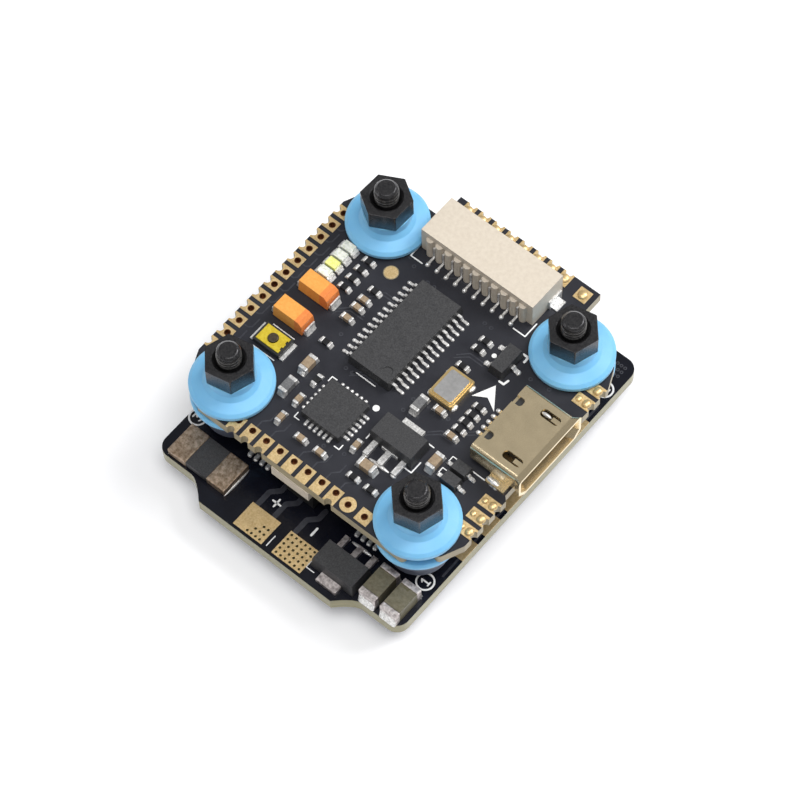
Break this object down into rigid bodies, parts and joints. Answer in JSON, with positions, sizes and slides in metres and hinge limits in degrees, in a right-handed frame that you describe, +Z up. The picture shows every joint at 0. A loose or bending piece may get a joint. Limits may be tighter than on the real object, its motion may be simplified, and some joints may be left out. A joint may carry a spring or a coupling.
{
  "type": "flight controller board",
  "caption": "Square flight controller board bolted on silicone grommets above a motor speed controller, with a micro socket, a cable socket and edge pads.",
  "frame": {"origin": "centre of the square bolt pattern, in the plane that the four screw heads rest on", "axes": "+Z up through the stack, +Y the flight direction with the cable socket opening that way, +X to the right with the micro socket opening that way"},
  "size_m": [0.0294, 0.034, 0.0151],
  "materials": {
    "solder_mask": "matte",
    "gold_plate": "satin",
    "black_steel": "satin",
    "blue_silicone": "matte",
    "dark_silicone": "matte",
    "black_epoxy": "matte",
    "tinned_lead": "satin",
    "shunt_copper": "satin",
    "brown_ceramic": "matte",
    "olive_ceramic": "matte",
    "grey_ceramic": "matte",
    "orange_epoxy": "satin",
    "gold_shell": "polished",
    "black_insulator": "matte",
    "cream_plastic": "matte",
    "yellow_cover": "satin",
    "dark_plunger": "satin",
    "crystal_gold": "satin",
    "crystal_steel": "satin",
    "lamp_base": "matte",
    "lamp_resin": "glossy"
  },
  "bodies": {
    "stack": {"bead_ends": "tinned_lead", "beads": "grey_ceramic", "button_base": "black_insulator", "button_contact": "tinned_lead", "button_cover": "yellow_cover", "button_terminals": "tinned_lead", "cable_socket_anchors": "tinned_lead", "cable_socket_contacts": "tinned_lead", "cable_socket_housing": "cream_plastic", "crystal_base": "crystal_gold", "crystal_lid": "crystal_steel", "diode_bodies": "black_epoxy", "diode_leads": "tinned_lead", "lamp_bases": "lamp_base", "lamp_ends": "tinned_lead", "lamp_lenses": "lamp_resin", "large_capacitor_ends": "tinned_lead", "large_capacitors": "brown_ceramic", "link_header": "black_insulator", "link_pins": "tinned_lead", "link_socket": "cream_plastic", "lower_board": "solder_mask", "lower_board_pads": "gold_plate", "lower_grommets": "dark_silicone", "lower_regulator": "black_epoxy", "lower_regulator_leads": "tinned_lead", "micro_socket_contacts": "tinned_lead", "micro_socket_insulator": "black_insulator", "micro_socket_shell": "gold_shell", "motion_sensor": "black_epoxy", "motion_sensor_pads": "tinned_lead", "motor_driver_chips": "black_epoxy", "nuts": "black_steel", "overlay_chip": "black_epoxy", "overlay_chip_leads": "tinned_lead", "power_capacitor_ends": "tinned_lead", "power_capacitors": "olive_ceramic", "power_transistor_leads": "tinned_lead", "power_transistors": "black_epoxy", "processor": "black_epoxy", "processor_pads": "tinned_lead", "resistor_ends": "tinned_lead", "resistors": "black_epoxy", "screws": "black_steel", "shunt_ends": "shunt_copper", "shunt_strip": "black_epoxy", "small_capacitor_ends": "tinned_lead", "small_capacitors": "brown_ceramic", "small_regulator": "black_epoxy", "small_regulator_leads": "tinned_lead", "tantalum_bodies": "orange_epoxy", "tantalum_terminals": "tinned_lead", "upper_board": "solder_mask", "upper_board_pads": "gold_plate", "upper_grommets": "blue_silicone", "upper_regulator": "black_epoxy", "upper_regulator_leads": "tinned_lead"},
    "button": {"button_plunger": "dark_plunger"}
  },
  "joints": [
    {"name": "button_press", "type": "slide", "parent": "stack", "child": "button", "axis": [0, 0, -1], "range_m": [0, 0.00015], "stiffness_N_per_m": 500, "springref_m": -0.0001}
  ]
}
